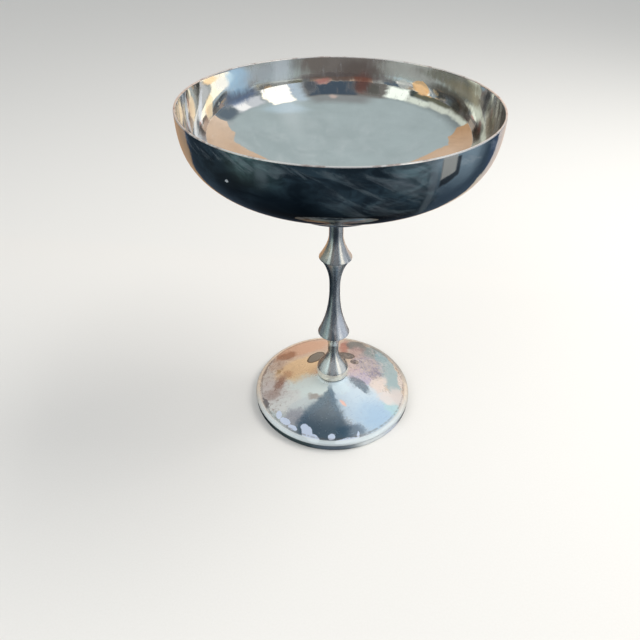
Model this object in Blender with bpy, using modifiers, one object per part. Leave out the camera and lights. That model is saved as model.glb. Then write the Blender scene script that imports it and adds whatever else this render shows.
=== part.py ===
"""Communion chalice: a spun coupe bowl on a turned stem of three bells, standing on a spun foot.

Metres, +Z up. The origin is the centre of the plane that the foot rests on, and every round
piece is turned about +Z. The bowl's boss, its seat and the stem's sections screw together on
M4 threads. One M5 screw from below clamps the foot to the stem. Threads are plain cylinders.
"""

import math

import bmesh
import bpy

# Clearances.
GAP = 0.0003
THREAD_GAP = 0.0002

# Bowl: its wall follows a superellipse down to FLOOR_SHARE of the rim's radius, and a parabola
# carries on from there with the same slope to the axis. The sheet is even.
TOTAL_HEIGHT = 0.151
RIM_RADIUS = 0.060
WALL_DEPTH = 0.032
WALL_FULLNESS = 3.0
FLOOR_SHARE = 0.808
BOWL_SHEET = 0.0008

# Seat below the bowl: a thin disc on a hub, with a hollow sweep between them.
SEAT_DISC_RADIUS = 0.0228
SEAT_DISC_THICKNESS = 0.0009
SEAT_SWEEP_RADIUS = 0.0135
SEAT_HUB_RADIUS = 0.0068
SEAT_HEIGHT = 0.0053
SEAT_FLOOR = 0.0010
BOSS_RADIUS = 0.0055
BOSS_FLANGE_RADIUS = 0.0085
BOSS_FLANGE = 0.0012

# Stem: heights of the bells' widest rings and of the slim places between them, with radii.
NECK_FLARE_RADIUS = 0.0050
NECK_FLARE_HEIGHT = 0.0060
NECK_FLARE_POWER = 2.4
NECK_BOTTOM = 0.0945
NECK_RADIUS = 0.0031
TOP_BELL_HEIGHT = 0.0836
TOP_BELL_RADIUS = 0.00735
BELL_LIP = 0.0004
SEAM_STEP = 0.0005
TOP_BELL_POWER = 1.7
MIDDLE_TOP_POWER = 2.6
WAIST_HEIGHT = 0.0665
WAIST_RADIUS = 0.00245
MIDDLE_BELL_POWER = 2.2
MIDDLE_BELL_HEIGHT = 0.0413
MIDDLE_BELL_RADIUS = 0.0075
LOWER_TOP_POWER = 2.4
LOW_NECK_TOP = 0.0323
LOW_NECK_BOTTOM = 0.0293
LOW_NECK_RADIUS = 0.0026
LOW_BELL_RADIUS = 0.0078
LOW_BELL_SWELL = 0.82
STEM_BOTTOM = 0.0184

# Threads inside the stem.
M4_RADIUS = 0.0020
M5_RADIUS = 0.0025
TIP_CHAMFER = 0.0004
STUD_LENGTH = 0.0120
STUD_HOLE_DEPTH = 0.0063
SPIGOT_LENGTH = 0.0060
SPIGOT_HOLE_DEPTH = 0.0066

# Foot: a spun cone whose edge is beaded over a heavier rim band.
FOOT_RADIUS = 0.0396
FOOT_SHEET = 0.0008
FOOT_LAND_RADIUS = 0.0082
FOOT_LAND_HEIGHT = 0.0135
FOOT_CONE_RADIUS = 0.0376
FOOT_CONE_HEIGHT = 0.0047
FOOT_SKIRT_HEIGHT = 0.0032
RIM_BAND_WIDTH = 0.0022
RIM_BAND_INSET = 0.0002
RIM_BAND_CHAMFER = 0.0003
COLLAR_RADIUS = 0.0080
COLLAR_TOP_RADIUS = 0.0074
COLLAR_FOOT_RADIUS = 0.0069
COLLAR_SHOULDER = 0.0012

# Foot screw and its washers. The screw passes freely through the foot into the stem.
SCREW_CLEARANCE = 0.0003
SCREW_TOP = 0.0271
SCREW_HEAD_RADIUS = 0.00425
SCREW_HEAD_HEIGHT = 0.0033
SCREW_SLOT_WIDTH = 0.0012
SCREW_SLOT_DEPTH = 0.0018
FLAT_WASHER_RADIUS = 0.0075
FLAT_WASHER_THICKNESS = 0.0012
LOCK_WASHER_RADIUS = 0.0046
LOCK_WASHER_THICKNESS = 0.0012
LOCK_WASHER_SLIT = 0.0008
LOCK_WASHER_SLANT = math.radians(35)

# How finely round things are divided.
WIDE_STEPS = 64
STEM_STEPS = 32
SMALL_STEPS = 24
WALL_POINTS = 9
FLOOR_POINTS = 5
FLARE_POINTS = 8
ARC_POINTS = 4
MERGE = 0.00001

# The bowl's floor starts at this radius, depth below the rim and slope.
FLOOR_RADIUS = FLOOR_SHARE * RIM_RADIUS
FLOOR_REST = 1 - FLOOR_SHARE**WALL_FULLNESS
FLOOR_START = WALL_DEPTH * FLOOR_REST ** (1 / WALL_FULLNESS)
FLOOR_SLOPE = (
    WALL_DEPTH
    / RIM_RADIUS
    * FLOOR_SHARE ** (WALL_FULLNESS - 1)
    * FLOOR_REST ** (1 / WALL_FULLNESS - 1)
)

# Heights that follow from the sizes above.
BRIM = TOTAL_HEIGHT - BOWL_SHEET / 2
BOWL_BOTTOM = BRIM - FLOOR_START - FLOOR_SLOPE * FLOOR_RADIUS / 2
SEAT_TOP = BOWL_BOTTOM - GAP
SEAT_BOTTOM = SEAT_TOP - SEAT_HEIGHT
DISC_BOTTOM = SEAT_TOP - SEAT_DISC_THICKNESS
UPPER_TOP = SEAT_BOTTOM - GAP
UPPER_BOTTOM = TOP_BELL_HEIGHT - BELL_LIP
MIDDLE_TOP = UPPER_BOTTOM - GAP
MIDDLE_BOTTOM = MIDDLE_BELL_HEIGHT - BELL_LIP
LOWER_TOP = MIDDLE_BOTTOM - GAP
LAND_UNDERSIDE = FOOT_LAND_HEIGHT - FOOT_SHEET
COLLAR_BOTTOM = FOOT_LAND_HEIGHT + GAP
COLLAR_TOP = STEM_BOTTOM - GAP
SCREW_HOLE_TOP = SCREW_TOP + GAP
FLAT_WASHER_TOP = LAND_UNDERSIDE - GAP
LOCK_WASHER_TOP = FLAT_WASHER_TOP - FLAT_WASHER_THICKNESS - GAP
HEAD_TOP = LOCK_WASHER_TOP - LOCK_WASHER_THICKNESS - GAP

# Radii of holes.
M4_HOLE = M4_RADIUS + THREAD_GAP
M5_HOLE = M5_RADIUS + THREAD_GAP
SCREW_PASS = M5_RADIUS + SCREW_CLEARANCE

SILVER = (0.72, 0.72, 0.70)
DARK_SILVER = (0.16, 0.18, 0.21)
HAZED_SILVER = (0.62, 0.66, 0.67)
BRASS = (0.78, 0.60, 0.28)
STEEL = (0.55, 0.56, 0.58)


def clear_scene():
    for obj in list(bpy.data.objects):
        bpy.data.objects.remove(obj, do_unlink=True)


def new_collection(name):
    collection = bpy.data.collections.new(name)
    bpy.context.scene.collection.children.link(collection)
    return collection


def metal(name, colour, roughness):
    material = bpy.data.materials.new(name)
    material.use_nodes = True
    shader = material.node_tree.nodes["Principled BSDF"]
    shader.inputs["Base Color"].default_value = (*colour, 1.0)
    shader.inputs["Metallic"].default_value = 1.0
    shader.inputs["Roughness"].default_value = roughness
    return material


def pivot(name, height, collection):
    """An empty on the axis, which the pieces of one moving group are parented to."""
    empty = bpy.data.objects.new(name, None)
    empty.location.z = height
    empty.empty_display_size = 0.01
    collection.objects.link(empty)
    return empty


def turned(name, profile, steps, material, parent, collection):
    """A solid turned about Z from (radius, height) points that run down its outer side.

    A profile that starts and ends on the axis makes a solid, and any other is closed into a ring.
    """
    base = min(height for radius, height in profile)
    shape = bmesh.new()
    points = [shape.verts.new((radius, 0, height - base)) for radius, height in profile]
    for first, second in zip(points, points[1:]):
        shape.edges.new((first, second))
    if profile[0][0] > 0:
        shape.edges.new((points[-1], points[0]))
    mesh = bpy.data.meshes.new(name)
    shape.to_mesh(mesh)
    shape.free()

    obj = bpy.data.objects.new(name, mesh)
    obj.location.z = base - parent.location.z
    obj.parent = parent
    mesh.materials.append(material)
    collection.objects.link(obj)

    screw = obj.modifiers.new("Turn", "SCREW")
    screw.axis = "Z"
    screw.angle = 2 * math.pi
    screw.steps = steps
    screw.render_steps = steps
    screw.use_merge_vertices = True
    screw.merge_threshold = MERGE
    screw.use_smooth_shade = True
    return obj


def bowl_side(inset):
    """Points down one face of the bowl, from the brim to the axis.

    inset moves each point square to the outside face, towards the inside.
    """
    points = []
    last = math.atan2(FLOOR_START / WALL_DEPTH, FLOOR_SHARE)
    for i in range(WALL_POINTS + 1):
        angle = last * i / WALL_POINTS
        across = math.cos(angle)
        down = math.sin(angle)
        size = (across**WALL_FULLNESS + down**WALL_FULLNESS) ** (-1 / WALL_FULLNESS)
        across *= size
        down *= size
        out = across ** (WALL_FULLNESS - 1) / RIM_RADIUS
        below = down ** (WALL_FULLNESS - 1) / WALL_DEPTH
        scale = inset / math.hypot(out, below)
        radius = RIM_RADIUS * across - out * scale
        points.append((radius, BRIM - WALL_DEPTH * down + below * scale))
    for i in range(1, FLOOR_POINTS + 1):
        radius = FLOOR_RADIUS * (1 - i / FLOOR_POINTS)
        slope = FLOOR_SLOPE * radius / FLOOR_RADIUS
        height = BOWL_BOTTOM + slope * radius / 2
        scale = inset / math.hypot(slope, 1)
        points.append((radius - slope * scale, height + scale))
    return points


def arc(centre, across, up, start, end, count=ARC_POINTS):
    """Points along an elliptical arc, with angles in degrees from the outward radius."""
    points = []
    for i in range(count + 1):
        angle = math.radians(start + (end - start) * i / count)
        points.append((centre[0] + across * math.cos(angle), centre[1] + up * math.sin(angle)))
    return points


def flare(slim, wide, power, count=FLARE_POINTS):
    """Points from a slim place to a wide one, widening ever faster on the way."""
    points = []
    for i in range(count + 1):
        share = i / count
        radius = slim[0] + (wide[0] - slim[0]) * share**power
        points.append((radius, slim[1] + (wide[1] - slim[1]) * share))
    return points


def swell(slim, wide, end, count=FLARE_POINTS):
    """Points along an S-curve from a slim place to a wide one. end is how much of the S it takes."""
    points = []
    for i in range(count + 1):
        share = i / count
        blend = (1 - math.cos(math.pi * end * share)) / (1 - math.cos(math.pi * end))
        radius = slim[0] + (wide[0] - slim[0]) * blend
        points.append((radius, slim[1] + (wide[1] - slim[1]) * share))
    return points


def bowl(parent, collection):
    """The cup: outside wall from the rim down, then the inside wall back up to a rounded edge."""
    half = BOWL_SHEET / 2
    edge = arc((RIM_RADIUS - half, BRIM), half, half, 180, 0)
    profile = bowl_side(BOWL_SHEET)[::-1] + edge[1:-1] + bowl_side(0)
    silver = metal("bowl_silver", HAZED_SILVER, 0.22)
    return turned("bowl", profile, WIDE_STEPS, silver, parent, collection)


def bowl_boss(parent, collection):
    """A tapped boss soldered under the bowl, with a flange to carry the joint."""
    bottom = SEAT_BOTTOM + SEAT_FLOOR + GAP
    shoulder = SEAT_TOP - BOSS_FLANGE
    profile = [
        (M4_HOLE, SEAT_TOP),
        (BOSS_FLANGE_RADIUS, SEAT_TOP),
        (BOSS_FLANGE_RADIUS, shoulder),
        (BOSS_RADIUS, shoulder),
        (BOSS_RADIUS, bottom),
        (M4_HOLE, bottom),
    ]
    brass = metal("boss_brass", BRASS, 0.35)
    return turned("bowl_boss", profile, SMALL_STEPS, brass, parent, collection)


def bowl_seat(parent, collection):
    """A thin disc below the bowl that sweeps down to a hub, hollowed to clear the boss."""
    sweep = arc(
        (SEAT_SWEEP_RADIUS, SEAT_BOTTOM),
        SEAT_SWEEP_RADIUS - SEAT_HUB_RADIUS,
        DISC_BOTTOM - SEAT_BOTTOM,
        90,
        180,
        FLARE_POINTS,
    )
    pocket = BOSS_FLANGE_RADIUS + GAP
    pocket_floor = SEAT_TOP - BOSS_FLANGE - GAP
    well = BOSS_RADIUS + GAP
    well_floor = SEAT_BOTTOM + SEAT_FLOOR
    profile = [(pocket, SEAT_TOP), (SEAT_DISC_RADIUS, SEAT_TOP), (SEAT_DISC_RADIUS, DISC_BOTTOM)]
    profile += sweep
    profile += [
        (M4_HOLE, SEAT_BOTTOM),
        (M4_HOLE, well_floor),
        (well, well_floor),
        (well, pocket_floor),
        (pocket, pocket_floor),
    ]
    silver = metal("seat_silver", SILVER, 0.22)
    return turned("bowl_seat", profile, WIDE_STEPS, silver, parent, collection)


def spigot(top):
    """The chamfered end of a threaded spigot, from the axis to its full radius."""
    return [(0, top), (M4_RADIUS - TIP_CHAMFER, top), (M4_RADIUS, top - TIP_CHAMFER)]


def stem_upper(parent, collection):
    """Threaded spigot, slim neck and the top bell, tapped for the stud from below."""
    spigot_top = BOWL_BOTTOM - GAP - TIP_CHAMFER
    flare_end = UPPER_TOP - NECK_FLARE_HEIGHT
    neck = flare((NECK_RADIUS, flare_end), (NECK_FLARE_RADIUS, UPPER_TOP), NECK_FLARE_POWER)
    bell = flare((NECK_RADIUS, NECK_BOTTOM), (TOP_BELL_RADIUS, TOP_BELL_HEIGHT), TOP_BELL_POWER)
    hole_top = UPPER_BOTTOM + STUD_HOLE_DEPTH
    profile = spigot(spigot_top) + [(M4_RADIUS, UPPER_TOP)]
    profile += neck[::-1] + bell
    profile += [
        (TOP_BELL_RADIUS, UPPER_BOTTOM),
        (M4_HOLE, UPPER_BOTTOM),
        (M4_HOLE, hole_top),
        (0, hole_top),
    ]
    silver = metal("upper_stem_silver", SILVER, 0.24)
    return turned("stem_upper", profile, STEM_STEPS, silver, parent, collection)


def stem_stud(parent, collection):
    """A headless stud that joins the top bell to the middle of the stem."""
    middle = (UPPER_BOTTOM + MIDDLE_TOP) / 2
    top = middle + STUD_LENGTH / 2
    bottom = middle - STUD_LENGTH / 2
    profile = spigot(top)
    profile += [(radius, top + bottom - height) for radius, height in spigot(top)[::-1]]
    steel = metal("stud_steel", STEEL, 0.40)
    return turned("stem_stud", profile, SMALL_STEPS, steel, parent, collection)


def stem_middle(parent, collection):
    """The long middle of the stem: it flares both ways from a waist, down to the middle bell."""
    top_hole = MIDDLE_TOP - STUD_HOLE_DEPTH
    bottom_hole = MIDDLE_BOTTOM + SPIGOT_HOLE_DEPTH
    waist = (WAIST_RADIUS, WAIST_HEIGHT)
    upper = flare(waist, (TOP_BELL_RADIUS - SEAM_STEP, MIDDLE_TOP), MIDDLE_TOP_POWER)
    lower = flare(waist, (MIDDLE_BELL_RADIUS, MIDDLE_BELL_HEIGHT), MIDDLE_BELL_POWER)
    profile = [(0, top_hole), (M4_HOLE, top_hole), (M4_HOLE, MIDDLE_TOP)]
    profile += upper[::-1] + lower[1:]
    profile += [
        (MIDDLE_BELL_RADIUS, MIDDLE_BOTTOM),
        (M4_HOLE, MIDDLE_BOTTOM),
        (M4_HOLE, bottom_hole),
        (0, bottom_hole),
    ]
    silver = metal("middle_stem_silver", SILVER, 0.26)
    return turned("stem_middle", profile, STEM_STEPS, silver, parent, collection)


def stem_lower(parent, collection):
    """Spigot, flare under the middle bell, low neck and low bell, tapped for the foot screw."""
    neck_top = (LOW_NECK_RADIUS, LOW_NECK_TOP)
    neck_bottom = (LOW_NECK_RADIUS, LOW_NECK_BOTTOM)
    upper = flare(neck_top, (MIDDLE_BELL_RADIUS - SEAM_STEP, LOWER_TOP), LOWER_TOP_POWER)
    bell = swell(neck_bottom, (LOW_BELL_RADIUS, STEM_BOTTOM), LOW_BELL_SWELL)
    profile = spigot(LOWER_TOP + SPIGOT_LENGTH) + [(M4_RADIUS, LOWER_TOP)]
    profile += upper[::-1] + bell
    profile += [(M5_HOLE, STEM_BOTTOM), (M5_HOLE, SCREW_HOLE_TOP), (0, SCREW_HOLE_TOP)]
    silver = metal("lower_stem_silver", SILVER, 0.24)
    return turned("stem_lower", profile, STEM_STEPS, silver, parent, collection)


def foot_collar(parent, collection):
    """A rounded ring between the stem and the foot, widest near its top."""
    widest = COLLAR_TOP - COLLAR_SHOULDER
    top_round = COLLAR_RADIUS - COLLAR_TOP_RADIUS
    foot_round = COLLAR_RADIUS - COLLAR_FOOT_RADIUS
    shoulder = arc((COLLAR_TOP_RADIUS, widest), top_round, COLLAR_SHOULDER, 90, 0)
    belly = arc((COLLAR_FOOT_RADIUS, widest), foot_round, widest - COLLAR_BOTTOM, 0, -90)
    profile = [(SCREW_PASS, COLLAR_TOP)] + shoulder + belly[1:] + [(SCREW_PASS, COLLAR_BOTTOM)]
    silver = metal("collar_silver", SILVER, 0.20)
    return turned("foot_collar", profile, STEM_STEPS, silver, parent, collection)


def foot(parent, collection):
    """A spun cone with a flat land for the stem, its edge beaded and turned down as a skirt."""
    bead_up = FOOT_CONE_HEIGHT - FOOT_SKIRT_HEIGHT
    bead = arc(
        (FOOT_CONE_RADIUS, FOOT_SKIRT_HEIGHT), FOOT_RADIUS - FOOT_CONE_RADIUS, bead_up, 90, 0
    )
    skirt_inside = FOOT_RADIUS - FOOT_SHEET
    profile = [(SCREW_PASS, FOOT_LAND_HEIGHT), (FOOT_LAND_RADIUS, FOOT_LAND_HEIGHT)]
    profile += bead
    profile += [
        (skirt_inside, FOOT_SKIRT_HEIGHT),
        (FOOT_CONE_RADIUS, FOOT_CONE_HEIGHT - FOOT_SHEET),
        (FOOT_LAND_RADIUS, LAND_UNDERSIDE),
        (SCREW_PASS, LAND_UNDERSIDE),
    ]
    silver = metal("foot_silver", HAZED_SILVER, 0.28)
    return turned("foot", profile, WIDE_STEPS, silver, parent, collection)


def foot_rim(parent, collection):
    """The heavier band under the foot's edge, whose flat underside the chalice stands on."""
    outer = FOOT_RADIUS - RIM_BAND_INSET
    inner = outer - RIM_BAND_WIDTH
    top = FOOT_SKIRT_HEIGHT - GAP
    profile = [
        (inner, top),
        (outer, top),
        (outer, RIM_BAND_CHAMFER),
        (outer - RIM_BAND_CHAMFER, 0),
        (inner, 0),
    ]
    silver = metal("rim_silver", DARK_SILVER, 0.30)
    return turned("foot_rim", profile, WIDE_STEPS, silver, parent, collection)


def flat_washer(parent, collection):
    """A wide washer that spreads the screw's load over the foot's land."""
    bottom = FLAT_WASHER_TOP - FLAT_WASHER_THICKNESS
    profile = [
        (SCREW_PASS, FLAT_WASHER_TOP),
        (FLAT_WASHER_RADIUS, FLAT_WASHER_TOP),
        (FLAT_WASHER_RADIUS, bottom),
        (SCREW_PASS, bottom),
    ]
    steel = metal("flat_washer_steel", STEEL, 0.38)
    return turned("flat_washer", profile, SMALL_STEPS, steel, parent, collection)


def cutter(name, size, place, turn, collection):
    """A box that cuts its piece, and is left out of the model."""
    bpy.ops.mesh.primitive_cube_add(size=1)
    box = bpy.context.object
    box.name = name
    box.scale = size
    bpy.ops.object.transform_apply(location=False, rotation=False, scale=True)
    box.rotation_euler = turn
    box.location = place
    box.hide_render = True
    box.display_type = "WIRE"
    for linked in list(box.users_collection):
        linked.objects.unlink(box)
    collection.objects.link(box)
    return box


def cut(obj, box):
    modifier = obj.modifiers.new("Cut", "BOOLEAN")
    modifier.operation = "DIFFERENCE"
    modifier.object = box


def lock_washer(parent, collection, cutters):
    """A split spring washer, flattened under the screw's head."""
    bottom = LOCK_WASHER_TOP - LOCK_WASHER_THICKNESS
    profile = [
        (SCREW_PASS, LOCK_WASHER_TOP),
        (LOCK_WASHER_RADIUS, LOCK_WASHER_TOP),
        (LOCK_WASHER_RADIUS, bottom),
        (SCREW_PASS, bottom),
    ]
    steel = metal("lock_washer_steel", STEEL, 0.42)
    washer = turned("lock_washer", profile, SMALL_STEPS, steel, parent, collection)
    reach = LOCK_WASHER_RADIUS
    size = (reach, LOCK_WASHER_SLIT, 4 * LOCK_WASHER_THICKNESS)
    place = (reach, 0, (LOCK_WASHER_TOP + bottom) / 2)
    cut(washer, cutter("washer_slit", size, place, (LOCK_WASHER_SLANT, 0, 0), cutters))
    return washer


def foot_screw(parent, collection, cutters):
    """The slotted M5 screw that holds the foot to the stem."""
    bottom = HEAD_TOP - SCREW_HEAD_HEIGHT
    profile = [
        (0, SCREW_TOP),
        (M5_RADIUS - TIP_CHAMFER, SCREW_TOP),
        (M5_RADIUS, SCREW_TOP - TIP_CHAMFER),
        (M5_RADIUS, HEAD_TOP),
        (SCREW_HEAD_RADIUS, HEAD_TOP),
        (SCREW_HEAD_RADIUS, bottom + TIP_CHAMFER),
        (SCREW_HEAD_RADIUS - TIP_CHAMFER, bottom),
        (0, bottom),
    ]
    steel = metal("screw_steel", STEEL, 0.36)
    screw = turned("foot_screw", profile, SMALL_STEPS, steel, parent, collection)
    size = (3 * SCREW_HEAD_RADIUS, SCREW_SLOT_WIDTH, 2 * SCREW_SLOT_DEPTH)
    cut(screw, cutter("screw_slot", size, (0, 0, bottom), (0, 0, 0), cutters))
    return screw


def build():
    clear_scene()
    parts = new_collection("communion_chalice")
    cutters = new_collection("cutters")

    foot_group = pivot("foot_group", 0, parts)
    stem_group = pivot("stem_group", STEM_BOTTOM, parts)
    stem_group.parent = foot_group
    screw_group = pivot("screw_group", HEAD_TOP, parts)
    screw_group.parent = foot_group

    for make in (foot, foot_rim, foot_collar, flat_washer):
        make(foot_group, parts)
    lock_washer(foot_group, parts, cutters)
    foot_screw(screw_group, parts, cutters)
    for make in (stem_lower, stem_middle, stem_stud, stem_upper, bowl_seat, bowl_boss, bowl):
        make(stem_group, parts)


build()
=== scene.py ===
"""Looks of the communion chalice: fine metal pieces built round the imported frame.

Every CAD node is stood for by a finer piece on the same body. Shapes are in metres and take their
places from the frame's boxes. Patterns are laid out in millimetres of the row frame.
The metal is a mirror, so half of its look is what stands round it: a paper card behind, a dark
table and a room with windows. Only mirror rays see those. The camera sees a plain pale floor.
"""

import functools
import math

import bmesh
import bpy
from mathutils import Matrix, Vector


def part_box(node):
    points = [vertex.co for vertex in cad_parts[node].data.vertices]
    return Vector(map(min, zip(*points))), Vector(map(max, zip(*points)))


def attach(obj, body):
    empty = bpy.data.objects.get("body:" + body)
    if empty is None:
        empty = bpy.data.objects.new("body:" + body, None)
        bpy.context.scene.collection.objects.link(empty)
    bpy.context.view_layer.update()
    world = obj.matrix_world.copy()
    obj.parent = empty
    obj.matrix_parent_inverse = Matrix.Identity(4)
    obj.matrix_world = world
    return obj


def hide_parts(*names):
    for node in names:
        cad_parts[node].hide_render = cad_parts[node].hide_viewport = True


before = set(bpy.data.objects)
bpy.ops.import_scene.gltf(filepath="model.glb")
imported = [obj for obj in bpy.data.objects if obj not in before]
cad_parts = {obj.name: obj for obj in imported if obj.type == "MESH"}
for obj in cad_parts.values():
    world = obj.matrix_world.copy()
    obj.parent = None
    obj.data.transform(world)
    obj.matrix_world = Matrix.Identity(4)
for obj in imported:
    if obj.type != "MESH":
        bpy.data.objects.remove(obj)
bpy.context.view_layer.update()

MM = 0.001
FULL_TURN = 2 * math.pi

# Sizes that the frame's boxes don't hold, the same as in the CAD.
WALL_DEPTH = 32 * MM
WALL_FULLNESS = 3.0
FLOOR_SHARE = 0.808
BOWL_SHEET = 0.8 * MM
SEAT_DISC_THICKNESS = 0.9 * MM
SEAT_SWEEP_RADIUS = 13.5 * MM
SEAT_HUB_RADIUS = 6.8 * MM
SEAT_FLOOR = 1.0 * MM
BOSS_RADIUS = 5.5 * MM
BOSS_FLANGE = 1.2 * MM
NECK_FLARE_RADIUS = 5.0 * MM
NECK_FLARE_HEIGHT = 6.0 * MM
NECK_FLARE_POWER = 2.4
NECK_RADIUS = 3.1 * MM
NECK_BOTTOM = 94.5 * MM
TOP_BELL_POWER = 1.7
WAIST_HEIGHT = 66.5 * MM
WAIST_RADIUS = 2.45 * MM
WAIST_RISE_POWER = 2.6
MIDDLE_BELL_POWER = 2.2
LOW_NECK_TOP = 32.3 * MM
LOW_NECK_BOTTOM = 29.3 * MM
LOW_NECK_RADIUS = 2.6 * MM
LOW_NECK_POWER = 2.4
LOW_BELL_SWELL = 0.82
BELL_LIP = 0.4 * MM
SEAM_STEP = 0.5 * MM
SPIGOT_HOLE_DEPTH = 6.6 * MM
STUD_HOLE_DEPTH = 6.3 * MM
COLLAR_TOP_RADIUS = 7.4 * MM
COLLAR_FOOT_RADIUS = 6.9 * MM
COLLAR_SHOULDER = 1.2 * MM
SOLDER_REACH = 1.1 * MM
SOLDER_LIFT = 0.4 * MM
SOLDER_WIDTH = 0.9 * MM
SOLDER_HEIGHT = 0.42 * MM
FOOT_SHEET = 0.8 * MM
FOOT_SHOULDER_WIDTH = 1.6 * MM
FOOT_SHOULDER_HEIGHT = 2.6 * MM
FOOT_SHOULDER_INSET = 0.9 * MM
FOOT_LAND_RADIUS = 8.2 * MM
FOOT_CONE_RADIUS = 37.6 * MM
FOOT_CONE_HEIGHT = 4.7 * MM
FOOT_SKIRT_HEIGHT = 3.2 * MM
RIM_BAND_WIDTH = 2.2 * MM
SCREW_HEAD_HEIGHT = 3.3 * MM
SCREW_SLOT_WIDTH = 1.2 * MM
SCREW_SLOT_DEPTH = 1.8 * MM
LOCK_WASHER_SLIT = 0.8 * MM
LOCK_WASHER_SLANT = math.radians(35)
M4_RADIUS = 2.0 * MM
M5_RADIUS = 2.5 * MM
M4_PITCH = 0.7 * MM
M5_PITCH = 0.8 * MM
THREAD_GAP = 0.2 * MM
M4_HOLE = M4_RADIUS + THREAD_GAP
M5_HOLE = M5_RADIUS + THREAD_GAP
SCREW_CLEARANCE = 0.3 * MM
SCREW_PASS = M5_RADIUS + SCREW_CLEARANCE
THREAD_DEPTH = 0.6
THREAD_FLANK = 1.35
THREAD_CREST = 0.18
TIP_CHAMFER = 0.4 * MM
SPIGOT_RELIEF = 0.1 * MM
SCREW_RELIEF = 0.4 * MM
GAP = 0.3 * MM
EDGE_ROUND = 0.14 * MM
BOWL_DENTS = 0.06 * MM
FOOT_DENTS = 0.03 * MM
DENT_REACH = 30 * MM

# How finely round things are divided.
WIDE_STEPS = 240
STEM_STEPS = 96
SMALL_STEPS = 72
ROWS_PER_THREAD = 8


def place_of(node):
    """(lowest height, highest height, radius) of a round CAD node."""
    low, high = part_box(node)
    return low.z, high.z, high.x


# ---------------------------------------------------------------- outlines


def arc(centre, across, up, start, end, count):
    """Points along an elliptical arc, with angles in degrees from the outward radius."""
    points = []
    for i in range(count + 1):
        angle = math.radians(start + (end - start) * i / count)
        points.append((centre[0] + across * math.cos(angle), centre[1] + up * math.sin(angle)))
    return points


def bowl_side(radius, brim, inset, wall_count, floor_count):
    """Points down one face of the bowl, from the brim to the axis.

    The wall is a superellipse and the floor a parabola that carries on with the same slope. inset
    moves each point square to the outside face, towards the inside.
    """
    power = WALL_FULLNESS
    rest = 1 - FLOOR_SHARE**power
    start = rest ** (1 / power)
    slope_there = WALL_DEPTH / radius * FLOOR_SHARE ** (power - 1) * rest ** (1 / power - 1)
    floor_radius = FLOOR_SHARE * radius
    bottom = brim - WALL_DEPTH * start - slope_there * floor_radius / 2
    points = []
    for i in range(wall_count + 1):
        angle = math.atan2(start, FLOOR_SHARE) * i / wall_count
        across = math.cos(angle)
        down = math.sin(angle)
        size = (across**power + down**power) ** (-1 / power)
        across *= size
        down *= size
        out = across ** (power - 1) / radius
        below = down ** (power - 1) / WALL_DEPTH
        scale = inset / math.hypot(out, below)
        points.append((radius * across - out * scale, brim - WALL_DEPTH * down + below * scale))
    for i in range(1, floor_count + 1):
        along = floor_radius * (1 - i / floor_count)
        slope = slope_there * along / floor_radius
        scale = inset / math.hypot(slope, 1)
        points.append((along - slope * scale, bottom + slope * along / 2 + scale))
    return points


def flare(slim, wide, power, count):
    """Points from a slim place to a wide one, widening ever faster on the way."""
    points = []
    for i in range(count + 1):
        share = i / count
        radius = slim[0] + (wide[0] - slim[0]) * share**power
        points.append((radius, slim[1] + (wide[1] - slim[1]) * share))
    return points


def swell(slim, wide, end, count):
    """Points along an S-curve from a slim place to a wide one. end is how much of the S it takes."""
    points = []
    for i in range(count + 1):
        share = i / count
        blend = (1 - math.cos(math.pi * end * share)) / (1 - math.cos(math.pi * end))
        radius = slim[0] + (wide[0] - slim[0]) * blend
        points.append((radius, slim[1] + (wide[1] - slim[1]) * share))
    return points


def straight(first, last, count):
    """Evenly spaced points on a straight line, both ends included."""
    points = []
    for i in range(count + 1):
        share = i / count
        points.append(tuple(a + (b - a) * share for a, b in zip(first, last)))
    return points


def thread(radius, first, last, pitch, outer=False):
    """Points along a threaded cylinder: (radius, height, pitch, share of the thread, outer).

    The thread runs out over one pitch at both ends: a hole's into its wall, and an outer one, on a
    screw or a spigot, down to its root.
    """
    count = max(4, round(abs(last - first) / pitch * ROWS_PER_THREAD))
    points = []
    for i in range(count + 1):
        height = first + (last - first) * i / count
        room = min(abs(height - first), abs(height - last))
        points.append((radius, height, pitch, min(1.0, room / pitch), outer))
    return points


def rounded(profile, closed, reach=EDGE_ROUND, sharpest=25, count=4):
    """The outline with each corner turned into a small curve. Threads and the axis stay as they are."""
    points = []
    total = len(profile)
    for i, point in enumerate(profile):
        ends = i == 0 or i == total - 1
        if (ends and not closed) or len(point) > 2:
            points.append(point)
            continue
        here = Vector(point[:2])
        before = Vector(profile[i - 1][:2]) - here
        after = Vector(profile[(i + 1) % total][:2]) - here
        if 180 - math.degrees(before.angle(after)) < sharpest:
            points.append(point)
            continue
        start = here + before.normalized() * min(reach, 0.4 * before.length)
        end = here + after.normalized() * min(reach, 0.4 * after.length)
        for k in range(count + 1):
            share = k / count
            bend = start * (1 - share) ** 2 + here * 2 * share * (1 - share) + end * share**2
            points.append(tuple(bend))
    return points


# ---------------------------------------------------------------- meshes


def thread_radius(point, angle):
    """Radius of a profile point at an angle: less than the outline's inside a thread's groove."""
    if len(point) == 2:
        return point[0]
    radius, height, pitch, share, outer = point
    turn = (height / pitch - angle / FULL_TURN) % 1.0
    from_crest = 1 - abs(2 * turn - 1)
    groove = min(1.0, max(0.0, THREAD_FLANK * from_crest - THREAD_CREST))
    groove = max(groove, 1 - share) if outer else groove * share
    return radius - THREAD_DEPTH * pitch * groove


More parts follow.
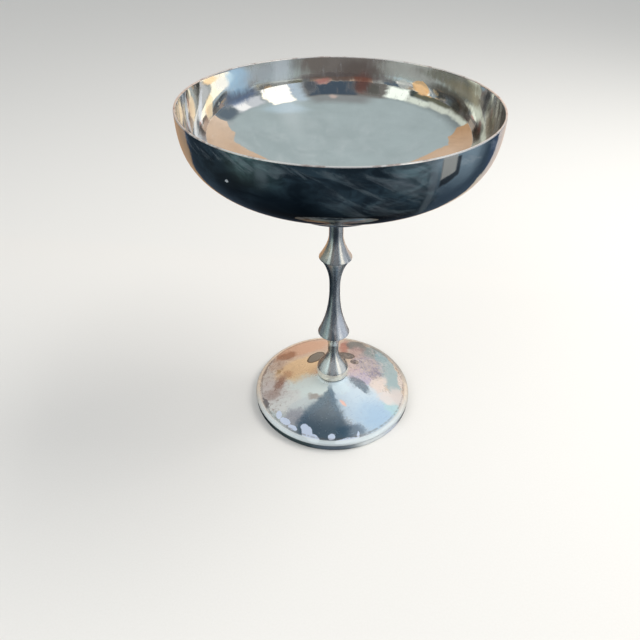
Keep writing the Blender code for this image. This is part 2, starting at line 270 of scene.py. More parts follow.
def turned(name, profile, steps, materials, closed, material_at=None, wander=None):
    """A mesh turned about Z from an outline that runs down its outer side.

    closed joins the last point to the first, which makes a ring. wander moves a finished point,
    so that a spun sheet isn't perfectly round. material_at gives a profile row's material.
    """
    verts = []
    rows = []
    for point in profile:
        if point[0] < 1e-7:
            rows.append([len(verts)] * steps)
            verts.append(Vector((0, 0, point[1])))
            continue
        rows.append(list(range(len(verts), len(verts) + steps)))
        for k in range(steps):
            angle = k / steps * FULL_TURN
            radius = thread_radius(point, angle)
            verts.append(Vector((radius * math.cos(angle), radius * math.sin(angle), point[1])))
    if wander:
        verts = [wander(vert) for vert in verts]
    faces = []
    kinds = []
    count = len(rows)
    for i in range(count if closed else count - 1):
        upper = rows[i]
        lower = rows[(i + 1) % count]
        for k in range(steps):
            nxt = (k + 1) % steps
            corners = [upper[k], lower[k], lower[nxt], upper[nxt]]
            unique = list(dict.fromkeys(corners))
            if len(unique) > 2:
                faces.append(unique)
                kinds.append(material_at(i) if material_at else 0)
    mesh = bpy.data.meshes.new(name)
    mesh.from_pydata(verts, [], faces)
    for material in materials:
        mesh.materials.append(material)
    mesh.polygons.foreach_set("material_index", kinds)
    mesh.shade_smooth()
    obj = bpy.data.objects.new(name, mesh)
    bpy.context.scene.collection.objects.link(obj)
    return obj


def fit(obj, body, slot, *nodes):
    """Puts a finished piece on its body, in place of its CAD nodes. The slot is not used."""
    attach(obj, body)
    if nodes:
        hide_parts(*nodes)


def dented(amount, waves):
    """A wander for spun sheet: slow waves round the axis, as (waves per turn, shift in turns)."""

    def move(vert):
        radius = math.hypot(vert.x, vert.y)
        if radius < 1e-6:
            return vert
        angle = math.atan2(vert.y, vert.x)
        shift = sum(math.sin(count * angle + turn * FULL_TURN) / count for count, turn in waves)
        reach = min(1.0, radius / DENT_REACH) ** 2
        scale = 1 + amount * shift * reach / radius
        return Vector((vert.x * scale, vert.y * scale, vert.z))

    return move


# ---------------------------------------------------------------- shader wiring


def shade(red, green, blue):
    """A linear colour from the 0 to 255 values that a screen shows."""
    linear = []
    for value in (red, green, blue):
        share = value / 255
        linear.append(share / 12.92 if share <= 0.04045 else ((share + 0.055) / 1.055) ** 2.4)
    return tuple(linear)


def scaled(amount, tone):
    """A linear colour made darker or brighter."""
    return tuple(amount * value for value in tone)


class Graph:
    """Shorthand for wiring shader nodes. Any value may be a socket, a number or a tuple."""

    def __init__(self, tree):
        self.tree = tree

    def feed(self, socket, value):
        if isinstance(value, bpy.types.NodeSocket):
            self.tree.links.new(value, socket)
            return
        if socket.type == "RGBA" and len(value) == 3:
            value = (*value, 1.0)
        socket.default_value = value

    def add(self, kind, inputs, **settings):
        """A node whose inputs are given by name or by number."""
        node = self.tree.nodes.new("ShaderNode" + kind)
        for name, value in settings.items():
            setattr(node, name, value)
        for name, value in inputs.items():
            self.feed(node.inputs[name], value)
        return node

    def math(self, operation, first, second=0.0):
        return self.add("Math", {0: first, 1: second}, operation=operation).outputs[0]

    def most(self, *values):
        return functools.reduce(lambda first, second: self.math("MAXIMUM", first, second), values)

    def times(self, *values):
        return functools.reduce(lambda first, second: self.math("MULTIPLY", first, second), values)

    def vector(self, operation, first, second):
        inputs = {0: first, "Scale" if operation == "SCALE" else 1: second}
        return self.add("VectorMath", inputs, operation=operation).outputs[0]

    def length(self, vector):
        return self.add("VectorMath", {0: vector}, operation="LENGTH").outputs["Value"]

    def split(self, vector):
        return self.add("SeparateXYZ", {0: vector}).outputs

    def join(self, x, y, z=0.0):
        return self.add("CombineXYZ", {0: x, 1: y, 2: z}).outputs[0]

    def turn(self, where, degrees):
        """A vector turned about Z."""
        inputs = {"Vector": where, "Rotation": (0, 0, math.radians(degrees))}
        return self.add("Mapping", inputs, vector_type="POINT").outputs[0]

    def bearing_of(self, where):
        """Degrees round the axis from the camera's side, to the right positive."""
        x, y = self.split(where)[:2]
        return self.math("DEGREES", self.math("ARCTAN2", x, self.times(y, -1.0)))

    def millimetres(self):
        """The place on the object, in millimetres."""
        return self.vector("SCALE", self.add("TexCoord", {}).outputs["Object"], 1 / MM)

    def mirrored(self, plain, seen_in_metal):
        """One shader for camera and diffuse rays, and another for mirror rays."""
        share = self.add("LightPath", {}).outputs["Is Glossy Ray"]
        return self.add("MixShader", {0: share, 1: plain, 2: seen_in_metal}).outputs[0]

    def rise(self, value, low, high, bottom=0.0, top=1.0):
        """A smooth step from bottom to top as value goes from low to high, or down to it."""
        inputs = {"Value": value, "From Min": low, "From Max": high, "To Min": bottom, "To Max": top}
        return self.add("MapRange", inputs, interpolation_type="SMOOTHSTEP").outputs[0]

    def between(self, value, low, high, soft):
        """1 from low to high, falling to 0 over soft at both ends."""
        start = self.rise(value, low - soft, low + soft)
        return self.times(start, self.rise(value, high - soft, high + soft, 1.0, 0.0))

    def mix(self, share, first, second, blend="MIX"):
        inputs = {0: share, 6: first, 7: second}
        return self.add("Mix", inputs, data_type="RGBA", blend_type=blend).outputs[2]

    def blend(self, share, first, second):
        """The same for plain numbers."""
        return self.add("Mix", {0: share, 2: first, 3: second}, data_type="FLOAT").outputs[0]

    def noise(self, where, scale, detail=3.0, rough=0.5, warp=0.0, output=0):
        inputs = {"Vector": where, "Scale": scale, "Detail": detail}
        inputs |= {"Roughness": rough, "Distortion": warp}
        return self.add("TexNoise", inputs).outputs[output]

    def wavy(self, where, scale, amount):
        """The place pushed about by noise, for edges that wander."""
        push = self.noise(where, scale, output="Color")
        push = self.vector("SUBTRACT", push, (0.5, 0.5, 0.5))
        return self.vector("ADD", where, self.vector("SCALE", push, amount))

    def patch(self, where, x, y, across, up, degrees=0, soft=0.35):
        """A mask for an oval patch: its centre, half sizes and turn."""
        offset = self.turn(self.vector("SUBTRACT", where, (x, y, 0)), -degrees)
        offset = self.vector("MULTIPLY", offset, (1 / across, 1 / up, 0))
        return self.rise(self.length(offset), 1 + soft, 1 - soft)

    def hairlines(self, where, degrees, spacing, length, share):
        """A mask of thin scratches that run one way, most of them broken up."""
        along = self.turn(where, degrees)
        along = self.vector("MULTIPLY", along, (1 / length, 1 / spacing, 1 / spacing))
        return self.rise(self.noise(along, 1.0, 2.0, 0.6), 1 - share, 1 - share + 0.05)

    def specks(self, where, spacing, size, share):
        """A mask of separate dots. share is how many of the cells hold one."""
        inputs = {"Vector": where, "Scale": 1 / spacing, "Randomness": 1.0}
        cells = self.add("TexVoronoi", inputs).outputs
        pick = self.rise(self.split(cells["Color"])[0], 1 - share - 0.01, 1 - share)
        return self.times(self.rise(cells["Distance"], size, size * 0.6), pick)


# ---------------------------------------------------------------- metals


class Coat(Graph):
    """A metal finish in the making: its colour, roughness and dullness so far.

    Dullness is how far a film hides the mirror: 0 is bare metal, 1 is paint.
    """

    def __init__(self, name, tint, roughness):
        self.material = bpy.data.materials.new(name)
        self.material.use_nodes = True
        super().__init__(self.material.node_tree)
        self.shader = self.tree.nodes["Principled BSDF"]
        self.place = self.millimetres()
        self.height = self.split(self.place)[2]
        self.colour = shade(*tint)
        self.rough = roughness
        self.dull = 0.0

    def stretched(self, up):
        """The place with its height scaled, for patterns drawn out along the axis or round it."""
        return self.vector("MULTIPLY", self.place, (1, 1, up))

    def paint(self, mask, tone, cover=1.0, dullness=None):
        """Lays a tone and, where it's given, a dullness over what is there."""
        if cover < 1:
            mask = self.times(mask, cover)
        self.colour = self.mix(mask, self.colour, shade(*tone))
        if dullness is not None:
            self.dull = self.blend(mask, self.dull, dullness)

    def tone_patches(self, where, patch_table, mottle):
        """Lays patches of tone from a table, with edges that the mottling eats into: real stains on
        some tables, painted light and shade on others.

        A row is (centre x, y, half sizes across, up, degrees, softness, tone, cover, dullness).
        """
        uneven = self.times(self.math("SUBTRACT", mottle, 0.5), 0.9)
        for x, y, across, up, degrees, soft, tone, cover, dullness in patch_table:
            mask = self.math("ADD", self.patch(where, x, y, across, up, degrees, soft), uneven)
            spread = min(0.5, 0.08 + 0.5 * soft)
            self.paint(self.rise(mask, 0.5 - spread, 0.5 + spread), tone, cover, dullness)

    def film(self, mask, dullness):
        """Dulls the metal under a mask, and never makes it brighter."""
        self.dull = self.most(self.dull, self.times(mask, dullness))

    def finish(self, bump=None, strength=0.1, distance=0.2 * MM):
        """Wires up the shader, with small relief from a pattern, and returns the material."""
        known = isinstance(self.dull, float)
        metallic = 1 - self.dull if known else self.math("SUBTRACT", 1.0, self.dull)
        inputs = {"Base Color": self.colour, "Roughness": self.rough, "Metallic": metallic}
        if bump is not None:
            relief = {"Strength": strength, "Distance": distance, "Height": bump}
            inputs["Normal"] = self.add("Bump", relief).outputs[0]
        for name, value in inputs.items():
            self.feed(self.shader.inputs[name], value)
        return self.material


def polished(name, tint, roughness):
    """Bright silver plate with wipe marks, faint smudges and hairlines, before any tarnish."""
    coat = Coat(name, tint, roughness)
    cloud = coat.noise(coat.place, 0.09, 4.0, 0.55)
    smudge = coat.rise(coat.noise(coat.place, 0.35, 5.0, 0.6, 0.6), 0.48, 0.72)
    coat.colour = coat.mix(coat.rise(cloud, 0.3, 0.75), coat.colour, scaled(0.93, coat.colour))
    rough = coat.blend(smudge, roughness, roughness + 0.05)
    lines = coat.most(
        coat.hairlines(coat.place, 24, 0.12, 9, 0.30),
        coat.hairlines(coat.place, 97, 0.10, 7, 0.27),
        coat.hairlines(coat.place, -38, 0.14, 11, 0.29),
    )
    coat.rough = coat.math("ADD", rough, coat.times(lines, 0.10))
    return coat


SILVER = (240, 238, 232)

# Painted reflections of the room on the cup's inner wall, laid as dull films, in degrees round the axis
# from the far side, to the right positive, and in millimetres up. Columns are those of the Coat method
# that lays these patches, here and below.
WALL_PAINTED_REFLECTIONS = (
    # painted dark brown reflection at the middle of the far side, paler towards the sides
    (2, 149, 24, 7, 0, 0.6, (158, 140, 134), 0.95, 0.15),
    (0, 142.6, 20, 1.7, 0, 0.7, (108, 98, 96), 0.95, 0.8),
    (9, 145.5, 9, 4, 0, 0.8, (128, 108, 102), 0.7, 0.15),
    (-11, 148, 5, 5, 0, 0.8, (150, 134, 126), 0.5, 0.25),
    (33, 148, 15, 4, 0, 0.7, (216, 213, 205), 0.85, 0.45),
    (54, 148.5, 17, 2.6, 0, 0.7, (150, 142, 126), 0.9, 0.2),
    (61, 145.2, 12, 2.8, -6, 0.7, (160, 148, 124), 0.9, 0.45),
    (54, 141, 13, 3.4, -8, 0.7, (112, 106, 90), 0.85, 0.25),
    (60, 138.3, 6, 2.2, -10, 0.8, (84, 78, 62), 0.7, 0.2),
    (76.5, 146.5, 3.4, 4.2, 0, 0.6, (52, 58, 62), 0.9, 0.2),
    (90, 144, 13, 7, 0, 0.7, (132, 124, 108), 0.8, 0.45),
    (84, 140, 4, 4, -25, 0.7, (146, 134, 106), 0.6, 0.4),
    # painted reflection of a person in a dark coat and of a lit doorway, blurred to smears
    (-8, 140.6, 3.4, 1, 8, 0.8, (204, 150, 144), 0.9, 0.65),
    (-14, 139, 3, 2.6, -20, 0.8, (110, 116, 124), 0.85, 0.5),
    (10, 139.6, 4.4, 4.4, -8, 0.8, (134, 92, 84), 0.9, 0.45),
    (16, 137.6, 3, 3, 0, 0.8, (120, 120, 112), 0.85, 0.45),
    (28.6, 141.7, 3, 1.9, -5, 0.4, (226, 228, 220), 0.9, 0.8),
    (37, 141.8, 4.4, 2.4, -14, 0.25, (252, 206, 150), 0.95, 0.8),
    # painted reflection of pale blue and lavender window glare at the left
    (-48, 139.6, 10, 3, 6, 0.7, (104, 126, 158), 0.9, 0.55),
    (-48, 146, 7, 5.5, 0, 0.7, (178, 214, 242), 0.9, 0.75),
    (-34, 146.5, 10, 5, 0, 0.9, (200, 208, 220), 0.7, 0.5),
    (-26, 144, 4, 12, 0, 0.9, (236, 240, 248), 0.6, 0.62),
    (-57, 146.6, 4, 2.4, -12, 0.7, (250, 250, 246), 0.9, 0.8),
    # painted reflections of windows: orange and white licks on the left wall
    (-67, 139.5, 2.2, 5, -32, 0.5, (255, 232, 192), 0.9, 0.75),
    (-79, 143, 2.6, 4.4, -12, 0.5, (255, 230, 192), 0.9, 0.75),
    (-73, 141, 1.2, 7, -28, 0.6, (238, 242, 248), 0.85, 0.75),
    (-93, 146, 4.4, 3.8, -16, 0.5, (255, 232, 198), 0.9, 0.75),
    (-84.5, 143, 1.2, 7, -16, 0.6, (226, 230, 238), 0.85, 0.7),
    (-64, 149.2, 4.5, 1.3, 0, 0.6, (255, 222, 176), 0.9, 0.7),
    (-101, 148, 4, 5, 0, 0.7, (226, 206, 180), 0.85, 0.6),
)


def inside_silver():
    """The cup's inside: a clear mirror with films of haze, wipe marks and dust, and reflections of the
    room painted on its wall as dull films.
    """
    coat = polished("bowl_inside", SILVER, 0.03)
    place = coat.place
    height = coat.height
    clean = coat.colour
    x, y = coat.split(place)[:2]
    from_back = coat.math("DEGREES", coat.math("ARCTAN2", x, y))
    loose = coat.wavy(coat.join(from_back, height), 0.3, 2.6)
    # The wall table paints reflections of the room on the wall as dull films.
    coat.tone_patches(loose, WALL_PAINTED_REFLECTIONS, coat.noise(coat.stretched(0.25), 0.5, 6.0, 0.65, 0.5))
    wall = coat.rise(height, 134, 137)
    coat.colour = coat.mix(wall, clean, coat.colour)
    coat.dull = coat.times(wall, coat.dull)

    film = coat.rise(coat.noise(place, 0.12, 5.0, 0.65, 0.5), 0.4, 0.75)
    film = coat.times(film, coat.rise(height, 136, 121))
    wipes = coat.hairlines(place, 12, 0.5, 16, 0.34)
    haze = coat.times(coat.between(from_back, -30, -20, 6), coat.rise(height, 116, 134), 0.22)
    veil = coat.most(coat.times(film, 0.12), coat.times(wipes, film, 0.12), haze)
    dust = coat.most(coat.specks(place, 5.0, 0.045, 0.5), coat.specks(place, 2.6, 0.06, 0.12))
    coat.paint(veil, (218, 230, 240))
    coat.paint(dust, (232, 236, 236), 0.6)
    coat.film(veil, 1.0)
    coat.film(dust, 0.5)
    return coat.finish(coat.noise(place, 0.16), 0.08, 0.3 * MM)


def edge_silver():
    """The brim, where handling has worn the plate to a bright line."""
    coat = polished("bowl_brim", (246, 240, 236), 0.28)
    worn = coat.noise(coat.place, 0.25, 4.0, 0.6)
    coat.paint(coat.rise(worn, 0.5, 0.65), (196, 180, 174))
    coat.dull = 0.25
    return coat.finish()


def outside_silver():
    """The cup's outside: smoky tarnish with clouds, smears and one wiped place, with painted dark
    reflections at the front, a painted brighter reflection at the right, painted sheen at the sides and
    painted shade underneath.
    """
    coat = polished("bowl_outside", (146, 168, 168), 0.05)
    place = coat.place
    height = coat.height
    bearing = coat.bearing_of(place)
    loose = coat.wavy(place, 0.12, 9.0)
    loose_bearing = coat.bearing_of(loose)
    loose_height = coat.split(loose)[2]

    def cloud(left, right, side_soft, low, high, soft):
        """A mask with wandering edges, in bearings and millimetres up."""
        across = coat.between(loose_bearing, left, right, side_soft)
        return coat.times(across, coat.between(loose_height, low, high, soft))

    def strip(left, right, side_soft, low, high, soft):
        """The same with straight upright edges."""
        across = coat.between(bearing, left, right, side_soft)
        return coat.times(across, coat.between(loose_height, low, high, soft))

    dark = coat.rise(coat.noise(coat.stretched(2.4), 0.07, 5.0, 0.6, 1.2), 0.40, 0.66)
    coat.colour = coat.mix(dark, shade(98, 112, 114), coat.colour)
    # Painted dark reflection of the shaded table, in two zones at the front left and middle.
    painted_dark_reflection = coat.most(cloud(-30, -4, 9, 112, 143, 5), cloud(-42, -26, 6, 132, 143, 4))
    coat.paint(painted_dark_reflection, (40, 52, 60), 0.8)
    coat.paint(cloud(-48, -24, 7, 139, 148, 3), (104, 104, 92), 0.5)
    # Painted brighter reflection on the right side.
    coat.paint(coat.between(loose_bearing, 31, 60, 3), (190, 208, 214), 0.7)
    # Painted sheen: the tint is paler and bluer beyond the front, so the sides mirror brighter.
    coat.paint(coat.rise(coat.math("ABSOLUTE", bearing), 52, 58), (186, 206, 232))
    # Painted shade on the underside at the front.
    painted_shade_underneath = coat.times(coat.between(bearing, -27, 27, 5), coat.rise(height, 133.6, 132.0))
    coat.paint(painted_shade_underneath, (72, 68, 62), 0.88)

    brushed = coat.turn(coat.join(bearing, height), 28)
    brushed = coat.vector("MULTIPLY", brushed, (0.05, 0.35, 1.0))
    strokes = coat.noise(brushed, 1.0, 5.0, 0.65, 0.8)
    smears = coat.times(coat.rise(strokes, 0.42, 0.68), cloud(0, 30, 8, 131, 150, 4))
    brim = coat.between(loose_height, 146.8, 150.2, 0.8)
    film = coat.most(
        coat.times(smears, 0.42),
        coat.times(strip(27.5, 30.5, 0.8, 131, 150, 3), 0.34),
        coat.times(strip(-24.5, -20.5, 1.2, 143, 150, 3), 0.30),
        coat.times(coat.rise(strokes, 0.46, 0.60), brim, 0.30),
    )
    coat.paint(film, (166, 172, 180))

    slope = coat.math("SUBTRACT", height, coat.times(loose_bearing, 0.52))
    wiped = coat.between(bearing, 31.6, 37.2, 0.6)
    wiped = coat.times(wiped, coat.rise(slope, 126.2, 127.2), 0.9)
    shadow = coat.between(bearing, 31.6, 38.8, 0.5)
    shadow = coat.times(shadow, coat.rise(slope, 123.2, 124.6), coat.rise(height, 150.2, 149.6))
    coat.paint(shadow, (44, 46, 52), 0.85)
    coat.paint(wiped, (176, 176, 170))
    splash = coat.patch(coat.join(bearing, height), -36, 140.4, 0.8, 0.5, 20, 0.3)
    dust = coat.most(coat.specks(place, 7.0, 0.035, 0.25), splash)
    coat.paint(dust, (225, 232, 236), 0.8)
    coat.dull = coat.times(coat.most(film, wiped, dust), 0.55)
    return coat.finish(coat.noise(place, 0.2), 0.12, 0.6 * MM)


# Painted light and shade on the stem, in bearings and in millimetres up: pale dull films stand for
# mirrored light, dark tints for dark reflections and shade.
STEM_LIGHT_AND_SHADE = (
    (-25, 74, 70, 10, 0, 0.6, (118, 132, 144), 0.85, 0.1),
    (46, 66, 30, 16, 0, 0.7, (186, 195, 204), 0.6, 0.35),
    (48, 46, 40, 7, 0, 0.7, (202, 209, 222), 0.8, 0.58),
    (-45, 46, 28, 7, 0, 0.7, (150, 176, 184), 0.6, 0.35),
    (60, 87, 35, 4, 0, 0.7, (200, 204, 210), 0.7, 0.45),
    (-38, 22, 24, 4, 0, 0.7, (212, 226, 226), 0.8, 0.65),
    (40, 21.5, 25, 4, 0, 0.7, (220, 222, 220), 0.75, 0.62),
    (-12, 97, 28, 5, 0, 0.7, (112, 118, 116), 0.75, 0),
    (-52, 67, 28, 13, 0, 0.7, (74, 86, 94), 0.75, 0),
    (4, 86.5, 18, 4, 0, 0.7, (196, 201, 204), 0.6, 0.45),
    (2, 22, 16, 4, 0, 0.7, (204, 210, 213), 0.65, 0.5),
    (0, 31, 70, 2.4, 0, 0.5, (118, 118, 114), 0.7, 0),
)


def stem_silver():
    """Satin turned silver, with smoky tarnish where a cloth doesn't reach, and light and shade painted
    on by bearing.

    The fine rings that turning leaves draw its shine out along the stem.
    """
    coat = polished("stem_satin", SILVER, 0.26)
    smoke = coat.noise(coat.stretched(0.4), 0.5, 4.0, 0.6)
    coat.paint(coat.rise(smoke, 0.42, 0.7), (176, 178, 176), 0.4)
    # The stem table paints light and shade by bearing, as pale dull films and dark tints.
    where = coat.join(coat.bearing_of(coat.place), coat.height)
    coat.tone_patches(where, STEM_LIGHT_AND_SHADE, coat.noise(coat.stretched(0.3), 0.8, 4.0, 0.6))
    tangent = coat.add("Tangent", {}, direction_type="RADIAL", axis="Z").outputs[0]
    coat.feed(coat.shader.inputs["Tangent"], tangent)
    coat.feed(coat.shader.inputs["Anisotropic"], 0.9)
    coat.feed(coat.shader.inputs["Anisotropic Rotation"], 0.25)
    rings = coat.noise(coat.join(0.0, 0.0, coat.height), 5.0, 2.0)
    return coat.finish(rings, 0.05, 0.1 * MM)


def collar_silver():
    """A dull, creamy ring with darker dirt, and painted shade along its bottom where it meets the foot.
    """
    coat = polished("collar_satin", (244, 238, 224), 0.38)
    dirt = coat.rise(coat.noise(coat.place, 0.6, 4.0, 0.6), 0.5, 0.7)
    # Painted shade: the ring darkens towards its bottom, where it meets the foot.
    painted_shade_low = coat.rise(coat.height, 15.0, 13.9)
    coat.paint(coat.most(coat.times(dirt, 0.4), coat.times(painted_shade_low, 0.6)), (118, 128, 138))
    coat.dull = 0.55
    return coat.finish()


def seat_silver():
    """The disc under the cup: bright, with stains, and dark where it faces up: painted shade and dark
    reflection under the cup.
    """
    coat = polished("seat_bright", SILVER, 0.12)
    tone_patches = coat.noise(coat.place, 0.3, 4.0, 0.6)
    coat.paint(coat.rise(tone_patches, 0.45, 0.7), (190, 176, 158))
    normal = coat.add("NewGeometry", {}).outputs["Normal"]
    # Painted shade and dark reflection on the top face, under the cup.
    painted_shade_on_top = coat.rise(coat.split(normal)[2], 0.8, 0.97)
    coat.paint(painted_shade_on_top, (60, 54, 52))
    coat.rough = coat.blend(painted_shade_on_top, coat.rough, 0.5)
    coat.dull = coat.rise(painted_shade_on_top, 0.0, 1.0, 0.0, 0.6)
    return coat.finish()


# Tarnish and films on the foot, seen from above, in millimetres, with painted reflections laid in among
# them as dull films.
FOOT_TARNISH_AND_REFLECTIONS = (
    # painted reflections of the room's pale light: a pale film over the front left and a bluer one over
    # the front right
    (-15, -10, 14, 11, -20, 0.4, (222, 234, 230), 0.9, 0.8),
    (-24, -15, 9, 7, 0, 0.5, (222, 222, 218), 0.85, 0.75),
    (-13, -20, 9, 5, 15, 0.5, (206, 212, 212), 0.7, 0.7),
    (14, -15, 16, 13, -25, 0.4, (204, 222, 234), 0.9, 0.78),
    (21, -23, 14, 10, 35, 0.8, (186, 208, 226), 0.8, 0.72),
    (24, -22, 9, 7, 40, 1, (170, 198, 222), 0.75, 0.68),
    (30, -15, 4, 6, 20, 0.6, (184, 218, 220), 0.7, 0.65),
    (3, -9, 6, 4, 0, 0.6, (216, 232, 238), 0.85, 0.8),
    # left side: brown and lilac-white mottling over a tan painted reflection of the brown paper card
    (-34, 4, 5, 18, 0, 0.6, (204, 202, 198), 0.9, 0.7),
    (-30, -6, 7, 8, 0, 0.7, (212, 206, 204), 0.8, 0.68),
    (-17, 7, 13, 9, 20, 0.6, (238, 206, 154), 0.75, 0.6),
    (-17, 27, 17, 8, 18, 0.6, (226, 178, 144), 0.7, 0.5),
    (-26, 19, 6, 3.6, 20, 0.6, (160, 114, 86), 0.8, 0.5),
    (-30, 12, 4, 5, 0, 0.6, (196, 176, 160), 0.7, 0.55),
    (-27, -3, 2.6, 5, -15, 0.8, (156, 122, 108), 0.85, 0.55),
    (-30, -10, 4, 3, 20, 0.8, (178, 158, 150), 0.7, 0.55),
    (-23, 3, 2.2, 3, 20, 0.8, (190, 152, 122), 0.6, 0.5),
    (-33, -15, 1.5, 3.8, 25, 0.5, (96, 92, 98), 0.8, 0.5),
    (-28, 6, 1.2, 1.8, 0, 0.5, (170, 148, 104), 0.7, 0.5),
    (-36, 10, 1.2, 12, -12, 0.6, (134, 112, 102), 0.6, 0.5),
    # right side: red behind the stem, then grey, teal, cream and lilac
    (6, 27, 3, 8, -6, 0.7, (184, 122, 106), 0.85, 0.5),
    (13, 30, 6, 6, -38, 0.6, (104, 114, 118), 0.85, 0.5),
    (13, 20, 5, 8, -10, 0.7, (186, 160, 158), 0.8, 0.55),
    (23, 24, 8, 7, 45, 0.5, (132, 156, 162), 0.85, 0.55),
    (29, 9, 5, 17, 12, 0.4, (146, 180, 188), 0.82, 0.72),
    (18, 10, 8, 9, 0, 0.6, (162, 160, 180), 0.85, 0.6),
    (15, 0, 7, 5, -20, 0.6, (186, 178, 206), 0.85, 0.65),
    (22, 5, 4, 3.4, 30, 0.8, (128, 132, 168), 0.75, 0.5),
    (11, 6, 3.5, 5, 0, 0.8, (212, 190, 196), 0.7, 0.62),
    (24, -2, 3.4, 6, -24, 0.6, (228, 216, 208), 0.95, 0.75),
    (28, -10, 5, 4, -20, 0.6, (226, 218, 214), 0.9, 0.75),
    (34, -10, 3.4, 7, 22, 0.6, (220, 212, 208), 0.85, 0.7),
    (36, 4, 1.6, 7, 0, 0.6, (220, 210, 204), 0.8, 0.65),
    (14.5, -6, 5.6, 2.6, -38, 0.6, (112, 132, 148), 0.85, 0.5),
    # ragged edges of the painted dark reflection (the wedge) at the front, and two brown smears beside
    # it
    (-18, -26, 6, 5, 20, 0.7, (150, 148, 158), 0.75, 0.6),
    (9, -32, 7, 3.4, 12, 0.7, (116, 136, 152), 0.8, 0.5),
    (-9, -15, 3.2, 1.8, 0, 0.8, (170, 154, 142), 0.7, 0.6),
)

# Two dull ovals with crisp dark edges behind the low bell, and a blot beside them.
OVALS = (
    (-9, 14.8, 3.7, 6.3, -34, 0.14, (84, 82, 76), 0.9, 0.3),
    (-9, 14.8, 3, 5.5, -34, 0.3, (140, 140, 134), 0.85, 0.5),
    (6.5, 17, 5.4, 3.6, 0, 0.14, (84, 84, 82), 0.9, 0.3),
    (6.3, 17, 4.8, 3, 0, 0.3, (120, 118, 114), 0.85, 0.5),
    (11.4, 11.4, 2.3, 2.2, 0, 0.3, (84, 84, 90), 0.9, 0.4),
)

# Dried water marks, with crisp edges: (centre x, y, half sizes across, up, degrees).
WATER_MARKS = (
    (-12.8, -30.6, 1.9, 1.8, 0),
    (-11.6, -33.2, 2.5, 3.4, 24),
    (-8.6, -36.4, 3.6, 2, -24),
    (-22.4, -26.8, 3, 1.7, -32),
    (-25.8, -23, 1.4, 2.4, 10),
    (-18.6, -30.6, 2.6, 1.2, -30),
    (0.4, -35.6, 1.8, 1.5, 20),
    (8, -37, 6.4, 1.3, 14),
    (13, -34.2, 0.6, 2.4, 0),
)


def foot_silver():
    """The foot: silver under iridescent tarnish, pale films, scratches and dried water marks, with
    painted reflections of the room, a painted dark reflection and a painted glint.
    """
    coat = polished("foot_tarnish_and_painted_light", SILVER, 0.10)
    flat = coat.stretched(0)
    radius = coat.length(flat)
    loose = coat.wavy(coat.wavy(coat.wavy(flat, 0.14, 6.0), 0.5, 3.0), 1.6, 1.2)
    mottle = coat.noise(flat, 0.5, 8.0, 0.78, 0.6)
    coat.dull = 0.15
    # The foot table lays tarnish with painted reflections among it.
    coat.tone_patches(loose, FOOT_TARNISH_AND_REFLECTIONS, mottle)
    coat.tone_patches(coat.wavy(flat, 0.3, 0.8), OVALS, 0.5)
    paint_reflected_wedge(coat, flat, radius, mottle)
    add_mottling(coat, flat, loose)

    crisp = coat.wavy(flat, 0.5, 1.1)
    water = coat.most(*(coat.patch(crisp, *mark, 0.09) for mark in WATER_MARKS))
    coat.paint(water, (202, 214, 234), 0.9)
    # Painted highlight: a small pink-orange glint on the front right.
    painted_glint = coat.patch(crisp, 5.6, -17.9, 2.0, 0.9, -48, 0.4)
    coat.paint(painted_glint, (250, 206, 190))
    dust = coat.most(
        coat.specks(coat.place, 2.2, 0.10, 0.16),
        coat.specks(coat.place, 4.5, 0.05, 0.35),
    )
    coat.paint(dust, (230, 232, 234), 0.5)

    bead = coat.rise(radius, 37.0, 37.9)
    tone = coat.mix(coat.rise(mottle, 0.4, 0.7), shade(232, 218, 198), shade(196, 188, 176))
    # Painted sheen: the bead is paler and cooler towards the front.
    painted_sheen_front = coat.rise(coat.split(flat)[1], 2, -30)
    tone = coat.mix(painted_sheen_front, tone, shade(220, 228, 230))
    shaded = coat.times(coat.between(coat.bearing_of(loose), 98, 162, 12), 0.7)
    tone = coat.mix(shaded, tone, shade(136, 138, 138))
    groove = coat.times(coat.between(radius, 36.4, 37.1, 0.3), coat.rise(mottle, 0.42, 0.55))
    coat.paint(groove, (120, 112, 104), 0.6)
    coat.colour = coat.mix(coat.times(bead, 0.9), coat.colour, tone)
    coat.film(water, 0.85)
    coat.film(painted_glint, 0.8)
    coat.film(bead, 0.7)
    coat.film(dust, 0.6)
    coat.dull = coat.blend(coat.rise(coat.height, 3.4, 3.1), coat.dull, 0.1)
    coat.rough = coat.math("ADD", coat.rough, coat.times(coat.dull, 0.30))
    return coat.finish(mottle, 0.10, 0.3 * MM)


def paint_reflected_wedge(coat, flat, radius, mottle):
    """A painted dark reflection of the cup's underside: a wedge that opens from the collar towards the
    front, where the films are thin.
    """
    facing = coat.bearing_of(coat.wavy(coat.wavy(flat, 0.1, 6.0), 0.8, 1.6))
    facing = coat.math("ADD", facing, coat.times(mottle, 16.0))
    opening = coat.rise(radius, 8, 24, 10, 27)
    reflected_dark_wedge = coat.rise(coat.math("ABSOLUTE", facing), opening, coat.times(opening, 0.6))
    reflected_dark_wedge = coat.times(reflected_dark_wedge, coat.rise(radius, 7, 12))
    coat.paint(reflected_dark_wedge, (94, 122, 142), 0.75)
    coat.paint(coat.times(reflected_dark_wedge, coat.rise(radius, 20, 33)), (58, 86, 106), 0.75)
    coat.dull = coat.blend(coat.times(reflected_dark_wedge, 0.8), coat.dull, 0.55)


